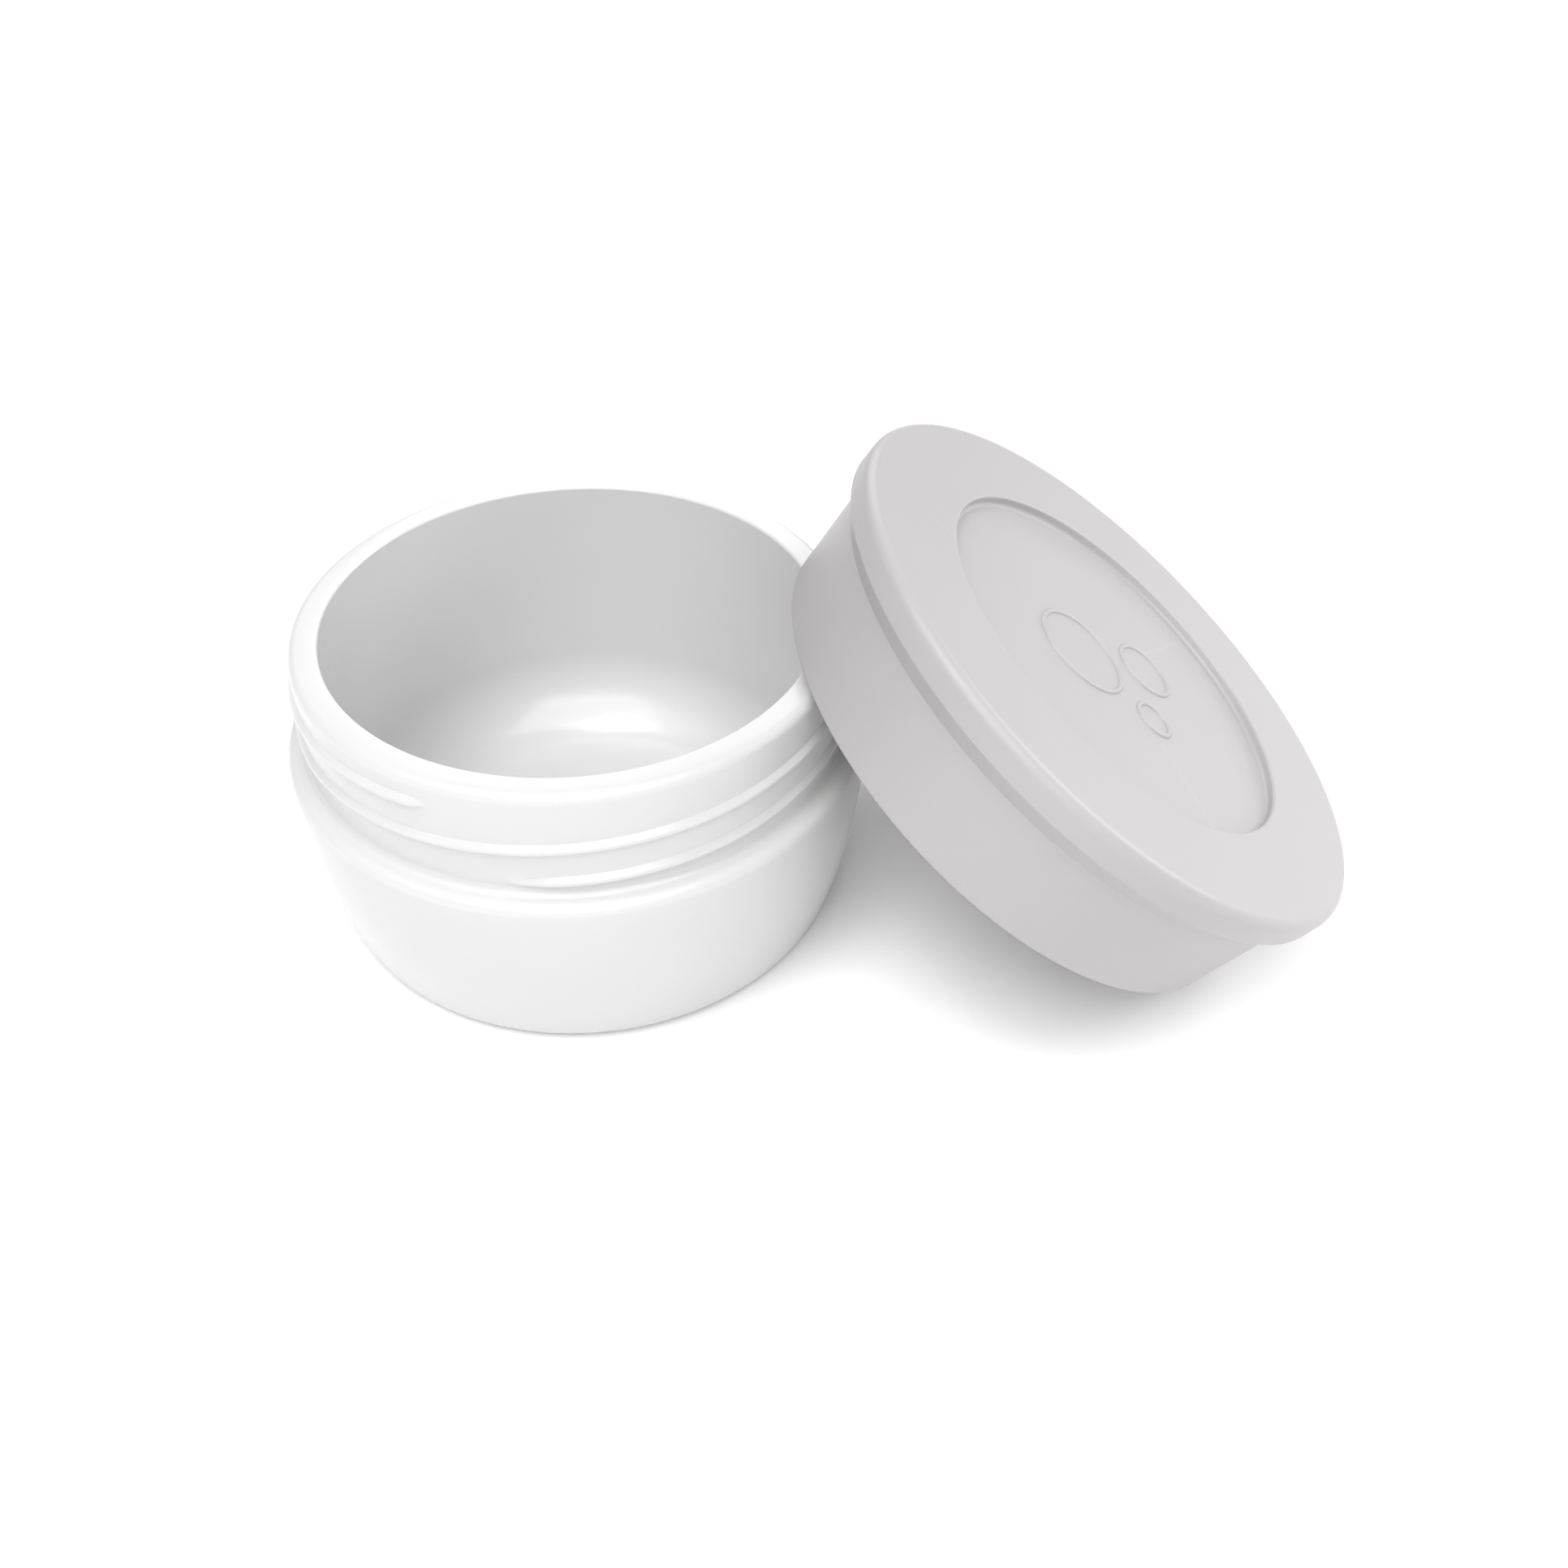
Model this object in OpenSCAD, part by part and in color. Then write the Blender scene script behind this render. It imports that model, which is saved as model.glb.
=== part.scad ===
// Screw-top shaving soap pot: white pot, warm grey lid set down leaning on the pot's rim,
// and the sealing ring inside the lid.
// +Z is up. The origin is the centre of the pot's flat underside.

/* [Pot] */
// Height of the pot from its underside to the top of its rim
pot_h = 33.2; // [30:0.1:45]
// Radius of the body at its widest, just under the shoulder
body_r = 30.15; // [29.5:0.05:33]
// Radius of the long curve that the body wall follows down to the base
body_arc = 62; // [50:1:120]
// Radius of the rounded edge round the underside
base_round = 2; // [1:0.1:4]
// Radius of the rounded edge round the shoulder
shoulder_round = 1.2; // [0.6:0.1:2]
// Height of the neck from the shoulder to the rim
neck_h = 11.8; // [11.5:0.1:13]
// Outer radius of the neck between the threads
neck_r = 28; // [27.6:0.05:28.05]
// Radius of the outer edge of the rim
rim_round = 1; // [0.3:0.1:1.2]

/* [Soap space] */
// Radius of the mouth
mouth_r = 25; // [23.5:0.1:25.2]
// Radius of the wall where the floor's round corner begins
well_r = 24.2; // [22:0.1:24.8]
// Thickness of the floor
floor_t = 2.2; // [1.5:0.1:4]
// Radius of the round corner between wall and floor
well_fillet = 9; // [4:0.1:12]

/* [Thread] */
// Number of thread starts
starts = 2; // [1:1:2]
// Rise of one thread start in a full turn
lead = 8.0; // [7.6:0.1:8.4]
// Radius of the crest of the pot's thread
crest_r = 28.5; // [28.3:0.05:28.5]
// Height of the lower flank at the foot of each thread on the pot
thread_foot_z = 22.3; // [22.2:0.1:22.6]
// Direction from the axis in which the first thread on the pot begins
thread_start = 257; // [0:1:360]
// Angle that each thread on the pot runs through
thread_sweep = 351; // [180:1:360]
// Radial clearance between the lid's thread and the pot's
thread_gap = 0.25; // [0.2:0.01:0.3]

/* [Lid] */
// Outer radius of the skirt at the mouth of the lid
skirt_r = 29.65; // [29.5:0.05:31]
// Outer radius of the skirt under the groove
skirt_top_r = 30.75; // [30:0.05:32]
// Height of the skirt up to the groove
skirt_h = 10.7; // [10:0.1:11.5]
// Height at which the sloped groove meets the side of the cap disc
disc_z = 12.65; // [12:0.05:13.2]
// Outer radius of the cap disc
disc_r = 32.55; // [31.5:0.05:34]
// Overall height of the lid
lid_h = 15.75; // [15.5:0.05:17]
// Radius of the rounded edge round the top
disc_round = 1.1; // [0.5:0.1:1.5]
// Radius of the shallow dish in the top
dish_r = 21.6; // [15:0.1:24]
// Depth of the shallow dish
dish_d = 1.1; // [0.4:0.1:1.4]

/* [Sealing ring] */
// Thickness of the sealing ring
seal_t = 1.5; // [1:0.1:1.5]
// Outer radius of the sealing ring
seal_r = 27.95; // [27.5:0.05:28]
// Inner radius of the sealing ring
seal_in_r = 24.6; // [24.2:0.05:24.8]

/* [Where the lid lies] */
// Angle between the leaning lid's axis and the upright
lean = 37.7; // [37.7:0.1:38.3]
// Distance of the lid's mouth centre from the pot's axis along X
lid_x = 45.6; // [45.6:0.1:60]
// Distance of the lid's mouth centre from the pot's axis along Y
lid_y = -3.3; // [-3.5:0.1:-3]

/* [Hidden] */
$fn = 96;

// pot
shoulder_z = pot_h - neck_h;
widest_z = shoulder_z - shoulder_round;
body_cx = body_r - body_arc;
base_cx = body_cx + sqrt(pow(body_arc - base_round, 2) - pow(widest_z - base_round, 2));
base_angle = -asin((widest_z - base_round) / (body_arc - base_round));
lip_round = 0.3;

// thread section: heights above the lower flank's foot
foot_z = -0.2;
crest_low_z = 0.1;
crest_high_z = 0.45;
head_z = 1.45;
root_sink = 0.4;
fade_deg = 14;
step_deg = 5;

// lid, in its own frame: mouth at z = 0, axis along Z
lid_bore_r = crest_r + thread_gap;
lid_crest_r = neck_r + 0.15;
skirt_round = 0.35;
closed_gap = 0.3;
seal_face_z = neck_h - closed_gap - 0.15;
ceiling_z = seal_face_z + seal_t + 0.05;
seat_z = seal_face_z - 0.15;
seat_r = lid_crest_r;
rib_r = seal_in_r - 0.1;
rib_t = 0.8;
rib_h = seal_t - 0.2;
dish_fillet = 0.8;
dish_z = lid_h - dish_d;
lid_thread_z = 2.2;
lid_thread_sweep = 265;
lid_thread_phase = thread_start + 360 * (lid_thread_z + shoulder_z + closed_gap - thread_foot_z) / lead;
bubble_h = 0.25;
bubble_line = 0.5;
bubbles = [[-4.5, -1.5, 5.5], [5.2, 3.2, 3.6], [4.6, -5.4, 2.4]];

// the lid stands on the edge of its skirt at z = 0
lid_z = (skirt_r - skirt_round) * sin(lean) + skirt_round * (1 - cos(lean));

function arc(c, r, from, to, n) = [
    for (i = [0:n]) let (a = from + (to - from) * i / n) [c[0] + r * cos(a), c[1] + r * sin(a)]
];

// how far a thread stands out along its length: still inside the wall at its ends, 1 over the rest
function fade(t, sweep) = let (edge = min(1, min(t, sweep - t) / fade_deg)) 0.1 + 0.9 * sin(90 * edge);

// A helical ridge. section lists [how far out, height]: 0 is inside the wall, 1 is the crest.
module thread(wall, crest, section, from, sweep, z) {
    n = ceil(sweep / step_deg);
    k = len(section);
    points = [
        for (i = [0:n]) let (t = sweep * i / n, f = fade(t, sweep), a = from + t)
        for (p = section) let (r = wall + (crest - wall) * p[0] * f)
        [r * cos(a), r * sin(a), z + lead * t / 360 + p[1]]
    ];
    sides = [
        for (i = [0:n - 1], j = [0:k - 1]) let (q = (j + 1) % k)
        each [[k * i + j, k * i + q, k * (i + 1) + q], [k * i + j, k * (i + 1) + q, k * (i + 1) + j]]
    ];
    ends = [[for (j = [k - 1:-1:0]) j], [for (j = [0:k - 1]) k * n + j]];
    polyhedron(points = points, faces = concat(sides, ends), convexity = 8);
}

module pot_thread(from) {
    section = [[0, head_z], [0, foot_z], [1, crest_low_z], [1, crest_high_z]];
    thread(neck_r - root_sink, crest_r, section, from, thread_sweep, thread_foot_z);
}

module lid_thread(from) {
    section = [[0, -0.4], [1, -0.75], [1, -1.2], [0, -1.9]];
    thread(lid_bore_r + root_sink, lid_crest_r, section, from, lid_thread_sweep, lid_thread_z);
}

module pot_section() {
    polygon(concat(
        [[0, 0]],
        arc([base_cx, base_round], base_round, -90, base_angle, 8),
        arc([body_cx, widest_z], body_arc, base_angle, 0, 12),
        arc([body_r - shoulder_round, widest_z], shoulder_round, 0, 90, 8),
        [[neck_r, shoulder_z]],
        arc([neck_r - rim_round, pot_h - rim_round], rim_round, 0, 90, 6),
        arc([mouth_r + lip_round, pot_h - lip_round], lip_round, 90, 180, 4),
        arc([well_r - well_fillet, floor_t + well_fillet], well_fillet, 0, -90, 10),
        [[0, floor_t]]
    ));
}

module lid_section() {
    polygon(concat(
        [[lid_bore_r + 0.2, 0]],
        arc([skirt_r - skirt_round, skirt_round], skirt_round, -90, 0, 4),
        [[skirt_top_r, skirt_h], [disc_r - 0.2, disc_z]],
        arc([disc_r - disc_round, lid_h - disc_round], disc_round, 0, 90, 8),
        [[dish_r, lid_h]],
        arc([dish_r - dish_fillet, dish_z + dish_fillet], dish_fillet, 0, -90, 6),
        [[0, dish_z], [0, ceiling_z]],
        [[rib_r - rib_t, ceiling_z], [rib_r - rib_t, ceiling_z - rib_h]],
        [[rib_r, ceiling_z - rib_h], [rib_r, ceiling_z]],
        [[seat_r, ceiling_z], [seat_r, seat_z], [lid_bore_r, seat_z], [lid_bore_r, 0.3]]
    ));
}

module seal_section() {
    edge = 0.3;
    polygon([
        [seal_in_r, seal_face_z + edge], [seal_in_r + edge, seal_face_z],
        [seal_r - edge, seal_face_z], [seal_r, seal_face_z + edge],
        [seal_r, seal_face_z + seal_t], [seal_in_r, seal_face_z + seal_t]
    ]);
}

// Moves a piece of the lid from the lid's own frame to where the lid leans on the pot
module leaning() {
    translate([lid_x, lid_y, lid_z]) rotate([0, lean, 0]) children();
}

module pot() {
    color("white") {
        rotate_extrude() pot_section();
        for (i = [0:starts - 1]) pot_thread(thread_start + 360 * i / starts);
    }
}

module lid() {
    color([0.80, 0.79, 0.79]) leaning() {
        rotate_extrude() lid_section();
        for (i = [0:starts - 1]) lid_thread(lid_thread_phase + 360 * i / starts);
        for (b = bubbles) translate([b[0], b[1], dish_z - 0.1]) difference() {
            cylinder(r = b[2], h = bubble_h + 0.1);
            translate([0, 0, -0.1]) cylinder(r = b[2] - bubble_line, h = bubble_h + 0.3);
        }
    }
}

module lid_seal() {
    color([0.93, 0.93, 0.92]) leaning() rotate_extrude() seal_section();
}

pot();
lid();
lid_seal();
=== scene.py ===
# %% [markdown]
# # A screw-top soap pot with its lid leaning on it
# A small round pot holds a puck of shaving soap. It is moulded in white plastic, and its neck has a coarse
# screw thread. The lid is moulded in warm grey plastic. It has been taken off and set down on its edge, so
# that it leans on the rim of the pot. Inside the lid sits a thin pale sealing ring.
# Each of these three things becomes one mesh here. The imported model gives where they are, and the meshes
# below add the small roundings, the smooth threads and the finishes.

# %% Load the frame
import bpy
import math
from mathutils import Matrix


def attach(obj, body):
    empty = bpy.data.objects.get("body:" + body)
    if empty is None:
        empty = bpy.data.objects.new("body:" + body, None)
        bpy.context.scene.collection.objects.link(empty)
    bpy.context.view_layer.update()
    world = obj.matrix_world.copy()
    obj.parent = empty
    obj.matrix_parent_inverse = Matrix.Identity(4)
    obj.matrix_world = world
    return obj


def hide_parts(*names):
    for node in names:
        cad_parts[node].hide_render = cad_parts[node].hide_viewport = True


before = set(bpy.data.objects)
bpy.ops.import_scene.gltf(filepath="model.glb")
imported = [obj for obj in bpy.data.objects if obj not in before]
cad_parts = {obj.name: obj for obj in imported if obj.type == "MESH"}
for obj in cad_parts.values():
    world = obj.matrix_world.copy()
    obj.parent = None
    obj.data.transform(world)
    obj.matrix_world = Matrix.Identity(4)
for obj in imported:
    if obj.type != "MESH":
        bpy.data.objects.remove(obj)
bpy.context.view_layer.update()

# %% [markdown]
# ## A pen for outlines
# Pot, lid and ring are all turned shapes: one half outline, swept round an axis. On a real pot the mould
# for it is cut on a lathe in the same way. So the tool needed most is a pen that draws such an outline.
# The pen is a mesh of a single point. A straight stroke extrudes the point, and a rounded corner spins it
# round the middle of the corner. An outline is then a short list of corners, each with its radius.

# %% Deselect, and start an outline with one point
MM = 0.001


def nothing_selected():
    """Leaves edit mode and deselects every object, so that the next operator acts on what it should."""
    if bpy.context.object and bpy.context.object.mode != "OBJECT":
        bpy.ops.object.mode_set(mode="OBJECT")
    bpy.ops.object.select_all(action="DESELECT")


def pen_down(name, x, z):
    """A new object in edit mode whose mesh is one point at x, z, in millimetres."""
    nothing_selected()
    bpy.ops.mesh.primitive_plane_add(size=MM, calc_uvs=False, location=(0, 0, 0))
    piece = bpy.context.object
    piece.name = piece.data.name = name
    bpy.ops.object.mode_set(mode="EDIT")
    bpy.ops.mesh.select_all(action="SELECT")
    bpy.ops.mesh.merge(type="CENTER")
    bpy.ops.transform.translate(value=(x * MM, 0, z * MM))
    return piece


# %% Draw corners with their radii
def corner_arc(before, here, after, radius):
    """Where a rounded corner starts, the middle of its arc, where it ends, and its turn in degrees."""
    ax, az = before[0] - here[0], before[1] - here[1]
    bx, bz = after[0] - here[0], after[1] - here[1]
    la, lb = math.hypot(ax, az), math.hypot(bx, bz)
    ax, az, bx, bz = ax / la, az / la, bx / lb, bz / lb
    half = math.acos(max(-1.0, min(1.0, ax * bx + az * bz))) / 2
    reach = radius / math.tan(half)
    mx, mz = ax + bx, az + bz
    lm = math.hypot(mx, mz)
    away = radius / math.sin(half)
    start = (here[0] + ax * reach, here[1] + az * reach)
    end = (here[0] + bx * reach, here[1] + bz * reach)
    middle = (here[0] + mx / lm * away, here[1] + mz / lm * away)
    side = 1 if ax * bz - az * bx < 0 else -1
    return start, middle, end, side * (180 - 2 * math.degrees(half))


def draw(name, corners, fineness=9.0):
    """Draws an outline from corners of (x, z, radius), in millimetres. Curves turn at most fineness a step."""
    piece = pen_down(name, corners[0][0], corners[0][1])
    at = (corners[0][0], corners[0][1])
    for i in range(1, len(corners)):
        here, radius = corners[i][:2], corners[i][2]
        start, turn = here, 0
        if radius > 0:
            start, middle, end, turn = corner_arc(corners[i - 1], here, corners[i + 1], radius)
        if math.dist(at, start) > 1e-4:
            step = ((start[0] - at[0]) * MM, 0, (start[1] - at[1]) * MM)
            bpy.ops.mesh.extrude_vertices_move(TRANSFORM_OT_translate={"value": step})
        at = start
        if turn:
            steps = max(3, math.ceil(abs(turn) / fineness), math.ceil(radius * abs(math.radians(turn)) / 1.5))
            bpy.ops.mesh.spin(
                steps=steps, angle=math.radians(turn),
                center=(middle[0] * MM, 0, middle[1] * MM), axis=(0, 1, 0),
            )
            at = end
    bpy.ops.object.mode_set(mode="OBJECT")
    ends = min(math.dist((v.co.x / MM, v.co.z / MM), at) for v in piece.data.vertices)
    assert ends < 0.001, f"the outline of {name} went astray by {ends} mm"
    return piece


# %% Turn an outline round the upright axis
def turned(name, corners, segments=192):
    """A closed turned shape. Both ends of its outline lie on the axis, or the outline closes on itself."""
    piece = draw(name, corners)
    bpy.ops.object.mode_set(mode="EDIT")
    bpy.ops.mesh.select_all(action="SELECT")
    bpy.ops.mesh.spin(steps=segments, angle=math.tau, center=(0, 0, 0), axis=(0, 0, 1))
    bpy.ops.mesh.select_all(action="SELECT")
    bpy.ops.mesh.remove_doubles(threshold=1e-6)
    bpy.ops.mesh.normals_make_consistent(inside=False)
    bpy.ops.object.mode_set(mode="OBJECT")
    print(name, "turned:", len(piece.data.polygons), "faces")
    return piece


# %% [markdown]
# ## The pot
# The pot is a little bowl: a flat underside, a wall that swells out in one long curve, a soft shoulder, and
# a straight neck that ends in a rounded rim. Inside, the wall leans in a little towards the floor, so that
# the part lets go of its mould, and a wide fillet leads into the floor. A shallow dimple in the middle of
# the underside is where the plastic went in.
# Some corners have radius 0 and lie on a straight line. They add a ring of edges near a rounding, so that
# smooth shading stays flat beyond it.
# A box or a cylinder could be cut into this shape, but an outline gives every fillet its own radius.

# %% Outline of the pot
POT_H, SHOULDER_Z = 33.2, 21.4
NECK_R, CREST_R, MOUTH_R = 28.0, 28.5, 25.0

pot_corners = [
    (0, 0.25, 0), (1.5, 0.25, 0.3), (2.2, 0, 0.3), (2.8, 0, 0), (24.5, 0, 0),
    (26.785, 0, 2.0), (30.15, 10.57, 62.0), (30.15, SHOULDER_Z, 1.2),
    (NECK_R, SHOULDER_Z, 0.9), (NECK_R, 24.0, 0), (NECK_R, 27.0, 0), (NECK_R, 30.0, 0),
    (NECK_R, POT_H, 1.0), (MOUTH_R, POT_H, 0.3),
    (24.2, 2.2, 9.0), (14.8, 2.2, 0), (0, 2.2, 0),
]
pot = turned("soap_pot", pot_corners)

# %% [markdown]
# ## The screw thread on the neck
# Two ridges climb round the neck, half a turn apart, so that the lid rises twice as fast as with one.
# Under each ridge the flank is close to level, which holds the lid down. Above, it slopes back to the neck.
# A ridge is a small closed outline, wound round the neck by the Screw modifier. The modifier can't thin the
# ridge out at its ends, and no operator does that along a helix, so the points there are eased into the wall
# in code. A boolean union then makes ridge and neck one skin.

# %% Wind a ridge
def wound(name, corners, sink_r, lead, sweep, start, fade=(14.0, 14.0)):
    """A ridge wound round the axis. Over fade degrees at either end it sinks nearly to sink_r."""
    ridge = draw(name, corners + [corners[0]])
    bpy.ops.object.mode_set(mode="EDIT")
    bpy.ops.mesh.select_all(action="SELECT")
    bpy.ops.mesh.remove_doubles(threshold=1e-6)
    bpy.ops.object.mode_set(mode="OBJECT")
    bpy.ops.object.modifier_add(type="SCREW")
    winding = ridge.modifiers[-1]
    winding.angle = math.radians(sweep)
    winding.screw_offset = lead * sweep / 360 * MM
    winding.steps = winding.render_steps = round(sweep / 1.875)
    bpy.ops.object.modifier_apply(modifier=winding.name)
    for v in ridge.data.vertices:
        r = math.hypot(v.co.x, v.co.y) / MM
        along = math.degrees(math.atan2(v.co.y, v.co.x)) % 360
        along = along - 360 if along > sweep + 4 else along
        share = max(0.0, min(1.0, along / fade[0], (sweep - along) / fade[1]))
        eased = sink_r + (r - sink_r) * (0.1 + 0.9 * math.sin(math.radians(90 * share)))
        v.co.x *= eased / r
        v.co.y *= eased / r
    bpy.ops.object.mode_set(mode="EDIT")
    bpy.ops.mesh.select_all(action="DESELECT")
    bpy.ops.mesh.select_non_manifold(extend=False)
    bpy.ops.mesh.fill_holes(sides=0)
    bpy.ops.mesh.select_all(action="SELECT")
    bpy.ops.mesh.normals_make_consistent(inside=False)
    bpy.ops.object.mode_set(mode="OBJECT")
    ridge.rotation_euler.z = math.radians(start)
    bpy.ops.object.transform_apply(location=True, rotation=True, scale=True)
    print(name, "wound:", len(ridge.data.polygons), "faces")
    return ridge


# %% Make two shapes one
def united(piece, extra):
    """Unites extra with piece, and removes extra."""
    nothing_selected()
    bpy.context.view_layer.objects.active = piece
    piece.select_set(True)
    bpy.ops.object.modifier_add(type="BOOLEAN")
    union = piece.modifiers[-1]
    union.operation, union.solver, union.object = "UNION", "EXACT", extra
    bpy.ops.object.modifier_apply(modifier=union.name)
    bpy.data.objects.remove(extra)
    return piece


def open_edges(piece):
    """How many edges don't have exactly two faces. A closed skin has none."""
    uses = {}
    for polygon in piece.data.polygons:
        for key in polygon.edge_keys:
            uses[key] = uses.get(key, 0) + 1
    return sum(1 for n in uses.values() if n != 2)


# %% The two ridges of the pot
LEAD, FOOT_Z, SWEEP, FIRST_START = 8.0, 22.3, 351.0, 257.0
SINK = NECK_R - 0.4

pot_ridge = [
    (SINK, FOOT_Z - 0.20, 0), (CREST_R, FOOT_Z + 0.10, 0.08),
    (CREST_R, FOOT_Z + 0.45, 0.30), (SINK, FOOT_Z + 1.45, 0),
]
for n in range(2):
    ridge = wound(f"neck_ridge_{n}", pot_ridge, SINK, LEAD, SWEEP, FIRST_START + 180 * n, (18.0, 5.0))
    united(pot, ridge)
print("soap_pot:", len(pot.data.polygons), "faces,", open_edges(pot), "open edges")

# %% [markdown]
# ## The lid
# The lid is a cap with a skirt that flares out a little. Above the skirt a narrow band slopes outwards and
# leads to a thicker disc, which gives the fingers something to hold. The top of the disc has a wide shallow
# dish. Inside are the seat for the ring, a low rib that keeps the ring in place, and the thread.
# It is drawn standing upright with its mouth at height 0, because an outline is easy to turn that way. When
# all its details are on it, the whole lid is tipped over to where it leans.

# %% Outline of the lid
LID_H, DISH_R, DISH_Z = 15.75, 21.6, 14.65
BORE_R, SEAT_R, SEAT_Z, CEILING_Z, RIB_R = 28.75, 28.15, 11.2, 12.9, 24.5

lid_corners = [
    (0, DISH_Z, 0), (20.9, DISH_Z, 0), (DISH_R, DISH_Z, 0.45), (DISH_R + 0.05, LID_H, 0.25),
    (22.2, LID_H, 0), (31.1, LID_H, 0), (32.55, LID_H, 1.1), (32.35, 12.65, 0.3), (30.75, 10.7, 0.35),
    (29.65, 0, 0.35), (28.95, 0, 0.12), (BORE_R, 0.3, 0.2),
    (BORE_R, 4.0, 0), (BORE_R, 8.0, 0), (BORE_R, SEAT_Z, 0.25),
    (SEAT_R, SEAT_Z, 0.12), (SEAT_R, CEILING_Z, 0.15),
    (RIB_R, CEILING_Z, 0.15), (RIB_R, 11.6, 0.15), (RIB_R - 0.8, 11.6, 0.25), (RIB_R - 0.8, CEILING_Z, 0.3),
    (2.2, CEILING_Z, 0.3), (1.5, CEILING_Z + 0.25, 0.3), (0, CEILING_Z + 0.25, 0),
]
lid = turned("pot_lid", lid_corners)

# %% [markdown]
# ## The thread inside the lid
# It is the same pair of ridges turned inside out: they stand inwards from the bore and run under the ridges
# of the neck when the lid is screwed on. The same winding helper makes them. Their outline, their length,
# how they fade and the side on which they sink into the wall differ.

# %% The two ridges of the lid
LID_FOOT_Z, LID_SWEEP, LID_CREST_R = 2.2, 265.0, NECK_R + 0.15
LID_PHASE = FIRST_START + 360 * (LID_FOOT_Z + SHOULDER_Z + 0.3 - FOOT_Z) / LEAD

lid_ridge = [
    (BORE_R + 0.4, LID_FOOT_Z - 0.40, 0), (BORE_R + 0.02, LID_FOOT_Z - 0.40, 0.15),
    (LID_CREST_R, LID_FOOT_Z - 0.75, 0.15), (LID_CREST_R, LID_FOOT_Z - 1.20, 0.15),
    (BORE_R + 0.02, LID_FOOT_Z - 1.72, 0.3), (BORE_R + 0.02, LID_FOOT_Z - 2.0, 0),
    (BORE_R + 0.4, LID_FOOT_Z - 2.0, 0),
]
for n in range(2):
    ridge = wound(f"skirt_ridge_{n}", lid_ridge, BORE_R + 0.4, LEAD, LID_SWEEP, LID_PHASE + 180 * n)
    united(lid, ridge)
print("pot_lid:", len(lid.data.polygons), "faces,", open_edges(lid), "open edges")

# %% [markdown]
# ## Three soap bubbles in the dish
# The dish carries a small raised sign, moulded with the lid. Here it is three plain rings, like bubbles.
# A ring in relief is a torus sunk halfway into the dish. The rings differ in width but not in thickness, so
# each is made at its own size, and all three are united with the lid.

# %% Raise the rings
BUBBLES = [(-4.5, -1.5, 5.5), (5.2, 3.2, 3.6), (4.6, -5.4, 2.4)]

for n, (x, y, r) in enumerate(BUBBLES):
    nothing_selected()
    bpy.ops.mesh.primitive_torus_add(
        major_radius=(r - 0.3) * MM, minor_radius=0.3 * MM, major_segments=96, minor_segments=20,
        location=(x * MM, y * MM, (DISH_Z - 0.05) * MM), generate_uvs=False,
    )
    ring = bpy.context.object
    bpy.ops.object.transform_apply(location=True, rotation=True, scale=True)
    united(lid, ring)
print("pot_lid with rings:", len(lid.data.polygons), "faces,", open_edges(lid), "open edges")

# %% [markdown]
# ## The sealing ring
# A flat ring of soft silicone lies under the ceiling of the lid and closes on the rim of the pot. Its
# outline doesn't touch the axis: it is a small closed loop, so the pen returns to its first corner. A low
# bead on the underside is what meets the rim.

# %% Turn the ring
SEAL_Z, SEAL_T, SEAL_R, SEAL_IN_R = 11.35, 1.5, 27.95, 24.6

seal_corners = [
    (SEAL_IN_R, SEAL_Z + 0.9, 0), (SEAL_IN_R, SEAL_Z + 0.12, 0.25),
    (25.6, SEAL_Z + 0.12, 0.1), (26.0, SEAL_Z, 0.25), (27.0, SEAL_Z, 0.25), (27.4, SEAL_Z + 0.12, 0.1),
    (SEAL_R, SEAL_Z + 0.12, 0.25), (SEAL_R, SEAL_Z + SEAL_T, 0.2),
    (SEAL_IN_R, SEAL_Z + SEAL_T, 0.2), (SEAL_IN_R, SEAL_Z + 0.9, 0),
]
seal = turned("sealing_ring", seal_corners, 160)
print("sealing_ring:", open_edges(seal), "open edges")

# %% [markdown]
# ## Tip the lid over
# The lid stands on the edge of its skirt and leans towards the pot. How far it leans decides how high the
# middle of its mouth is, because the lowest point of the skirt has to touch the floor. The move is then
# applied, so that each object sits unturned at the origin and its place is in its mesh.

# %% Lean lid and ring on the pot
LEAN, LID_X, LID_Y = 37.7, 45.6, -3.3
EDGE_R, EDGE_ROUND = 29.3, 0.35
LID_Z = EDGE_R * math.sin(math.radians(LEAN)) + EDGE_ROUND * (1 - math.cos(math.radians(LEAN)))

for piece in (lid, seal):
    nothing_selected()
    bpy.context.view_layer.objects.active = piece
    piece.select_set(True)
    piece.rotation_euler.y = math.radians(LEAN)
    piece.location = (LID_X * MM, LID_Y * MM, LID_Z * MM)
    bpy.ops.object.transform_apply(location=True, rotation=True, scale=True)

# %% [markdown]
# ## Smooth where it is round, sharp where it is not
# Smooth shading hides the facets of a turned shape, but it would also smear real edges. Shading by angle
# keeps every edge sharper than the limit as it is. The steps of the roundings turn 9 degrees or less, so
# the limit leaves them smooth.

# %% Smooth shading, with real edges kept
SHARP_FROM = 32
for piece in (pot, lid, seal):
    nothing_selected()
    bpy.context.view_layer.objects.active = piece
    piece.select_set(True)
    bpy.ops.object.shade_smooth_by_angle(angle=math.radians(SHARP_FROM))

# %% [markdown]
# ## What moulded plastic looks like up close
# A moulded skin is never perfectly even. It has a very fine grain from the mould, a slow unevenness called
# orange peel, and faint clouds where the melt flowed. All three are noises of different sizes. Two finishes
# use them, so they are made once as a group that gives a height and a cloud mask.

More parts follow.
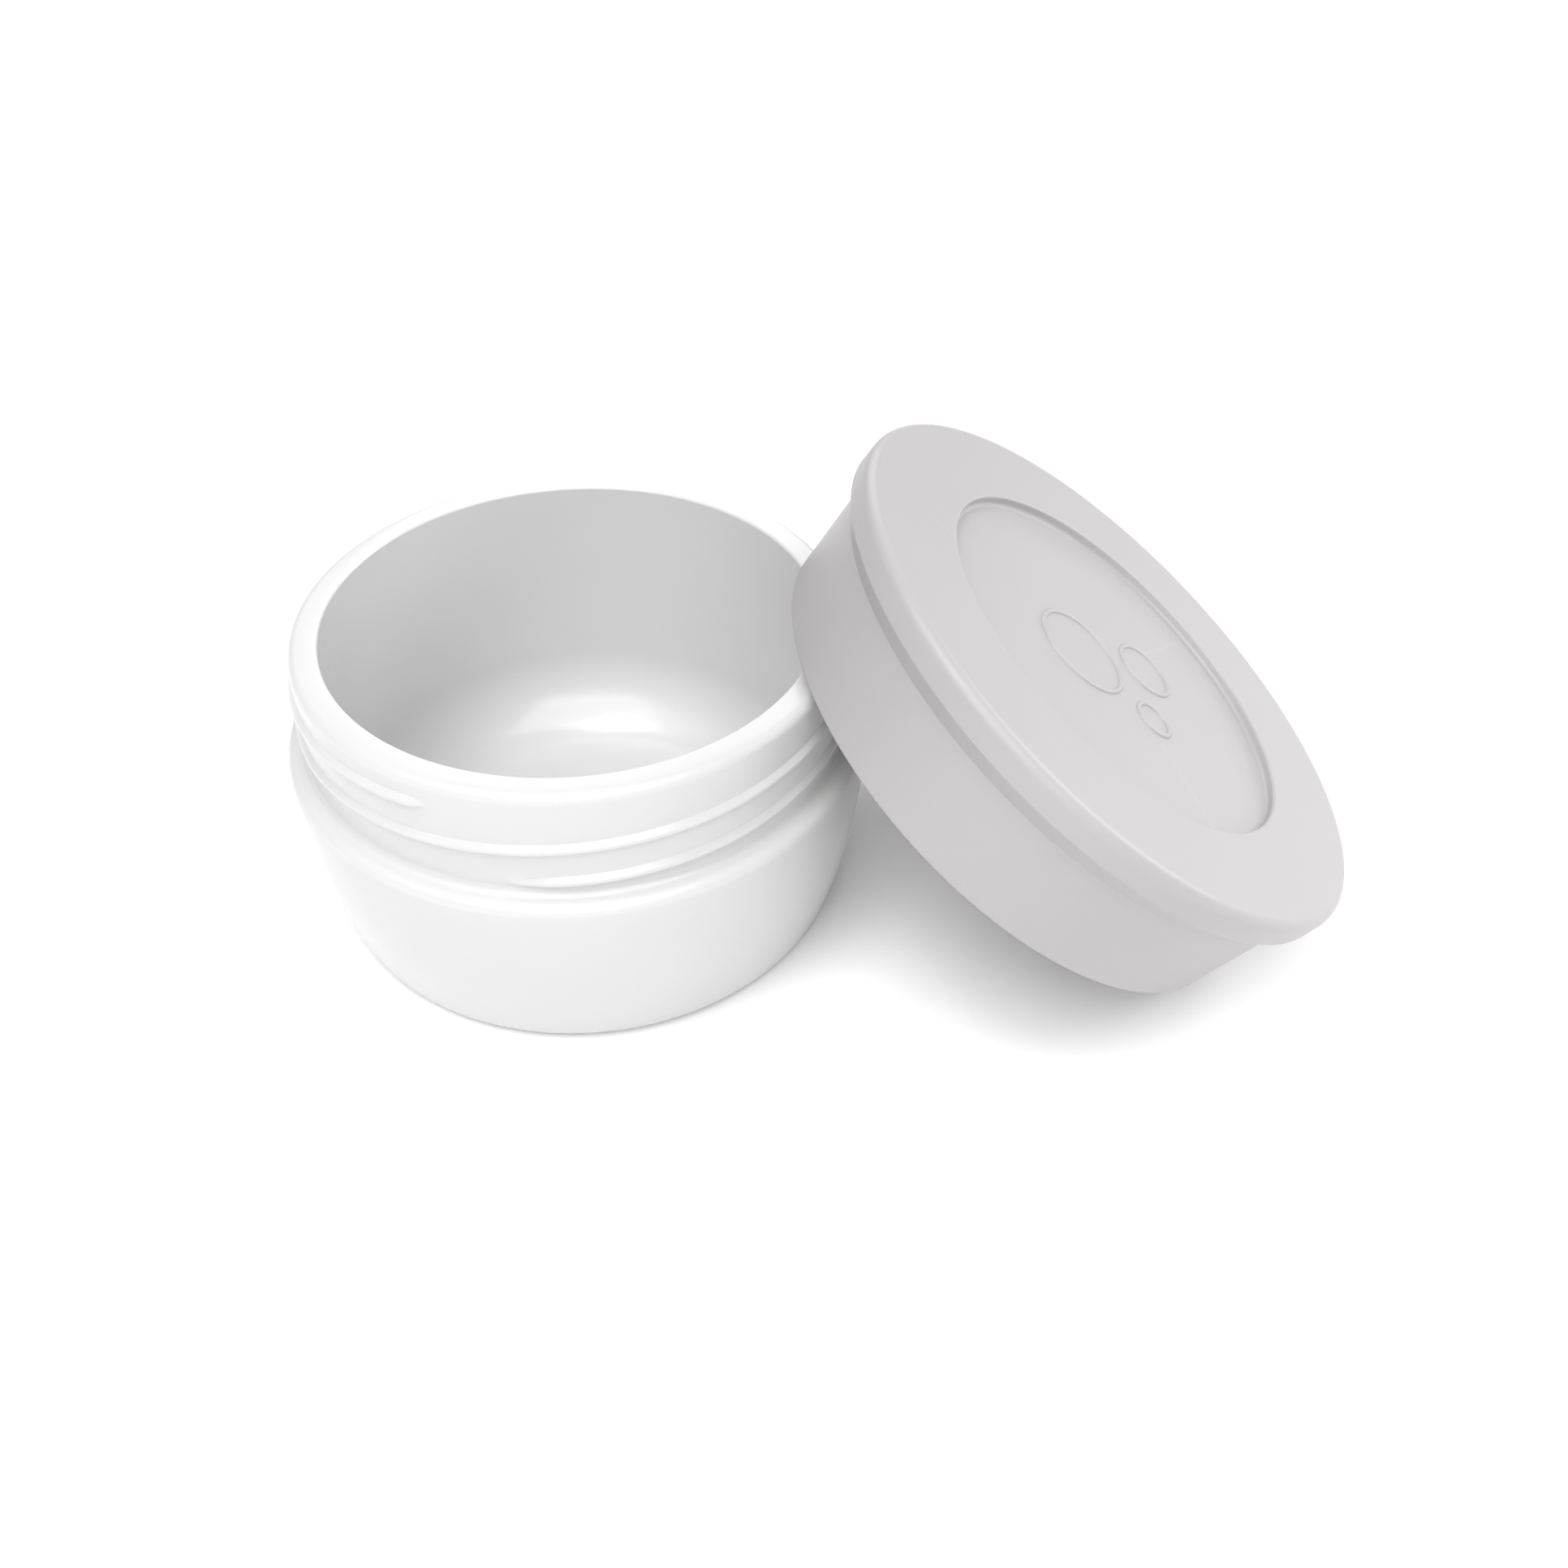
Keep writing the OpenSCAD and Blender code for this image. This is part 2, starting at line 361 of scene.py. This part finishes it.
# %% A group for the skin of a moulding
def new_group(name, inputs, outputs):
    """A shader node group with named float sockets, and its input and output nodes."""
    group = bpy.data.node_groups.new(name, "ShaderNodeTree")
    group.interface.new_socket("Place", in_out="INPUT", socket_type="NodeSocketVector")
    for label, value in inputs.items():
        group.interface.new_socket(label, in_out="INPUT", socket_type="NodeSocketFloat").default_value = value
    for label in outputs:
        group.interface.new_socket(label, in_out="OUTPUT", socket_type="NodeSocketFloat")
    return group, group.nodes.new("NodeGroupInput"), group.nodes.new("NodeGroupOutput")


def noise(tree, place, scale, detail=2.0, rough=0.5):
    """A noise texture at that scale, fed by that place socket. Gives its value socket."""
    node = tree.nodes.new("ShaderNodeTexNoise")
    node.inputs["Scale"].default_value = scale
    node.inputs["Detail"].default_value = detail
    node.inputs["Roughness"].default_value = rough
    tree.links.new(place, node.inputs["Vector"])
    return node.outputs["Fac"]


def sums(tree, operation, a, b):
    """A math node. a and b are sockets or numbers."""
    node = tree.nodes.new("ShaderNodeMath")
    node.operation = operation
    for slot, value in zip(node.inputs, (a, b)):
        if isinstance(value, (int, float)):
            slot.default_value = value
        else:
            tree.links.new(value, slot)
    return node.outputs[0]


skin, skin_in, skin_out = new_group("moulded_skin", {"Grain": 0.35, "Peel": 0.65}, ["Height", "Clouds"])
grain = noise(skin, skin_in.outputs["Place"], 5200, 2)
peel = noise(skin, skin_in.outputs["Place"], 420, 2)
clouds = noise(skin, skin_in.outputs["Place"], 38, 4, 0.55)
height = sums(skin, "ADD", sums(skin, "MULTIPLY", grain, skin_in.outputs["Grain"]),
              sums(skin, "MULTIPLY", peel, skin_in.outputs["Peel"]))
skin.links.new(height, skin_out.inputs["Height"])
skin.links.new(clouds, skin_out.inputs["Clouds"])
print("group moulded_skin:", len(skin.nodes), "nodes")

# %% [markdown]
# ## Signs of handling
# Hands polish the edges that stick out, and use leaves very faint hairline scuffs. The edges are found
# with pointiness, which is higher where the skin bends outwards, and broken up with a noise so that the wear
# isn't even. The scuffs are a noise stretched along one direction, kept only where it peaks.

# %% A group for wear
wear, wear_in, wear_out = new_group("handling_wear", {"Edge": 0.53}, ["Worn", "Scuffs"])
bend = wear.nodes.new("ShaderNodeNewGeometry").outputs["Pointiness"]
edge = wear.nodes.new("ShaderNodeMapRange")
wear.links.new(bend, edge.inputs["Value"])
wear.links.new(wear_in.outputs["Edge"], edge.inputs["From Min"])
edge.inputs["From Max"].default_value = 0.62
patchy = sums(wear, "ADD", noise(wear, wear_in.outputs["Place"], 160, 4, 0.6), 0.25)
worn = sums(wear, "MULTIPLY", edge.outputs["Result"], patchy)
long_way = wear.nodes.new("ShaderNodeVectorMath")
long_way.operation = "MULTIPLY"
long_way.inputs[1].default_value = (0.05, 0.8, 1)
wear.links.new(wear_in.outputs["Place"], long_way.inputs[0])
streaks = wear.nodes.new("ShaderNodeMapRange")
streaks.inputs["From Min"].default_value, streaks.inputs["From Max"].default_value = 0.64, 0.72
wear.links.new(noise(wear, long_way.outputs[0], 2600, 3, 0.6), streaks.inputs["Value"])
where = wear.nodes.new("ShaderNodeMapRange")
where.inputs["From Min"].default_value, where.inputs["From Max"].default_value = 0.5, 0.62
wear.links.new(noise(wear, wear_in.outputs["Place"], 90, 2), where.inputs["Value"])
scuffs = sums(wear, "MULTIPLY", streaks.outputs["Result"], where.outputs["Result"])
wear.links.new(worn, wear_out.inputs["Worn"])
wear.links.new(scuffs, wear_out.inputs["Scuffs"])
print("group handling_wear:", len(wear.nodes), "nodes")

# %% [markdown]
# ## The finishes
# All three finishes are the same recipe with other values: a base colour that drifts a little with the
# clouds, a roughness that drops on worn edges and rises in scuffs, and a fine bump from the skin. The pot
# is a glossier white, the lid a softer warm grey, and the ring a milky silicone.

# %% One recipe for a plastic
def plastic(name, colour, drift, roughness, bump, sheen=0.0):
    """A moulded plastic. drift is how far the colour moves, as a share. bump is in millimetres."""
    material = bpy.data.materials.new(name)
    material.use_nodes = True
    tree = material.node_tree
    shader = tree.nodes["Principled BSDF"]
    place = tree.nodes.new("ShaderNodeTexCoord").outputs["Object"]
    skin_node, wear_node = tree.nodes.new("ShaderNodeGroup"), tree.nodes.new("ShaderNodeGroup")
    skin_node.node_tree, wear_node.node_tree = skin, wear
    for node in (skin_node, wear_node):
        tree.links.new(place, node.inputs["Place"])

    ramp = tree.nodes.new("ShaderNodeValToRGB")
    ramp.color_ramp.elements[0].position, ramp.color_ramp.elements[1].position = 0.3, 0.7
    for element, factor in zip(ramp.color_ramp.elements, (1 - drift, 1 + drift)):
        element.color = (*[min(1.0, c * factor) for c in colour], 1)
    tree.links.new(skin_node.outputs["Clouds"], ramp.inputs["Fac"])
    rubbed = tree.nodes.new("ShaderNodeMix")
    rubbed.data_type = "RGBA"
    rubbed.inputs["B"].default_value = (*[min(1.0, c * 1.03 + 0.01) for c in colour], 1)
    tree.links.new(sums(tree, "MULTIPLY", wear_node.outputs["Worn"], 0.6), rubbed.inputs["Factor"])
    tree.links.new(ramp.outputs["Color"], rubbed.inputs["A"])
    tree.links.new(rubbed.outputs["Result"], shader.inputs["Base Color"])

    rough = sums(tree, "ADD", sums(tree, "MULTIPLY", skin_node.outputs["Clouds"], 0.10), roughness - 0.05)
    rough = sums(tree, "SUBTRACT", rough, sums(tree, "MULTIPLY", wear_node.outputs["Worn"], 0.06))
    rough = sums(tree, "ADD", rough, sums(tree, "MULTIPLY", wear_node.outputs["Scuffs"], 0.05))
    tree.links.new(rough, shader.inputs["Roughness"])

    relief = tree.nodes.new("ShaderNodeBump")
    relief.inputs["Strength"].default_value = 1.0
    relief.inputs["Distance"].default_value = bump * MM
    tree.links.new(skin_node.outputs["Height"], relief.inputs["Height"])
    tree.links.new(relief.outputs["Normal"], shader.inputs["Normal"])
    shader.inputs["IOR"].default_value = 1.49
    if sheen:
        shader.inputs["Sheen Weight"].default_value = sheen
    return material


white_plastic = plastic("white_moulded_plastic", (0.58, 0.58, 0.58), 0.010, 0.19, 0.004)
grey_plastic = plastic("warm_grey_moulded_plastic", (0.381, 0.365, 0.370), 0.012, 0.40, 0.010)
pale_silicone = plastic("pale_silicone", (0.76, 0.76, 0.73), 0.02, 0.55, 0.012, sheen=0.2)
print("finishes:", [m.name for m in (white_plastic, grey_plastic, pale_silicone)])

# %% [markdown]
# ## Each piece takes its place in the model
# A piece rides on a body, so that it moves with that body's joint. It replaces one node of the packed
# model.

# %% Give each piece its finish and body
for piece, finish, body, node, slot in (
    (pot, white_plastic, "pot", "pot", "pot_plastic"),
    (lid, grey_plastic, "lid", "lid", "lid_plastic"),
    (seal, pale_silicone, "seal", "lid_seal", "seal_silicone"),
):
    piece.data.materials.clear()
    piece.data.materials.append(finish)
    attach(piece, body)
    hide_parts(node)

# %% [markdown]
# ## Floor, light and camera
# The set is a light tent: a plain white floor, a pale surround that fills the shadows, and softboxes of
# different heights. The high one in front lights the wide walls, and the low ones at the right and behind
# reach into the hollow between pot and lid. The small one overhead is mirrored by the fillet inside the pot.
# That reflection is the short bright bar on its floor, and its size shows how big the lamp is.

# %% The floor
nothing_selected()
FLOOR_R, FLOOR_GAP = 3.0, 0.00004
bpy.ops.mesh.primitive_circle_add(vertices=64, radius=FLOOR_R, fill_type="NGON", location=(0, 0, -FLOOR_GAP))
floor = bpy.context.object
floor.name = "floor"
floor_paint = bpy.data.materials.new("floor_paint")
floor_paint.use_nodes = True
floor_paint.node_tree.nodes["Principled BSDF"].inputs["Base Color"].default_value = (0.93, 0.93, 0.93, 1)
floor_paint.node_tree.nodes["Principled BSDF"].inputs["Roughness"].default_value = 0.9
floor_paint.node_tree.nodes["Principled BSDF"].inputs["Specular IOR Level"].default_value = 0.1
floor.data.materials.append(floor_paint)

# %% The surround
world = bpy.data.worlds.new("surround")
bpy.context.scene.world = world
world.use_nodes = True
backdrop = world.node_tree.nodes["Background"]
backdrop.inputs["Color"].default_value = (1, 1, 1, 1)
backdrop.inputs["Strength"].default_value = 0.41


# %% The lamps
def softbox(name, place, aim, width, height, power):
    """A rectangular lamp at place, turned towards aim. Metres and watts."""
    nothing_selected()
    bpy.ops.object.light_add(type="AREA", location=place)
    lamp = bpy.context.object
    lamp.name, lamp.data.shape = name, "RECTANGLE"
    lamp.data.size, lamp.data.size_y, lamp.data.energy = width, height, power
    away = [a - p for a, p in zip(aim, place)]
    lamp.rotation_euler = (
        math.acos(-away[2] / math.hypot(*away)), 0, math.atan2(away[1], away[0]) - math.pi / 2)
    return lamp


MIDDLE = (0.02, 0.0, 0.0)
for name, place, width, height, power in (
    ("overhead_softbox", (-0.11, -0.084, 0.79), 0.30, 0.28, 1.6),
    ("front_high_softbox", (0.02, -0.40, 0.693), 0.8, 0.7, 5.3),
    ("front_low_softbox", (0.02, -0.693, 0.40), 0.6, 0.6, 1.1),
    ("left_high_softbox", (-0.377, -0.229, 0.655), 0.5, 0.5, 1.0),
    ("right_low_softbox", (0.701, 0.248, 0.338), 0.45, 0.45, 3.2),
    ("back_low_softbox", (0.02, 0.693, 0.40), 0.45, 0.45, 1.2),
):
    softbox(name, place, MIDDLE, width, height, power)
bpy.context.scene.view_settings.view_transform = "Standard"

# %% [markdown]
# ## The camera
# It looks down at about 40 degrees from close by. A close camera makes the near rim visibly wider than the
# far one, and the focal length then sets how much of the frame the two pieces fill.

# %% The camera
nothing_selected()
bpy.ops.object.camera_add(location=(0.0215, -0.140925, 0.1314), rotation=(math.radians(49.477), 0, 0))
camera = bpy.context.object
camera.data.sensor_width, camera.data.lens = 36.0, 38.99
camera.data.clip_start, camera.data.clip_end = 0.005, 50
bpy.context.scene.camera = camera
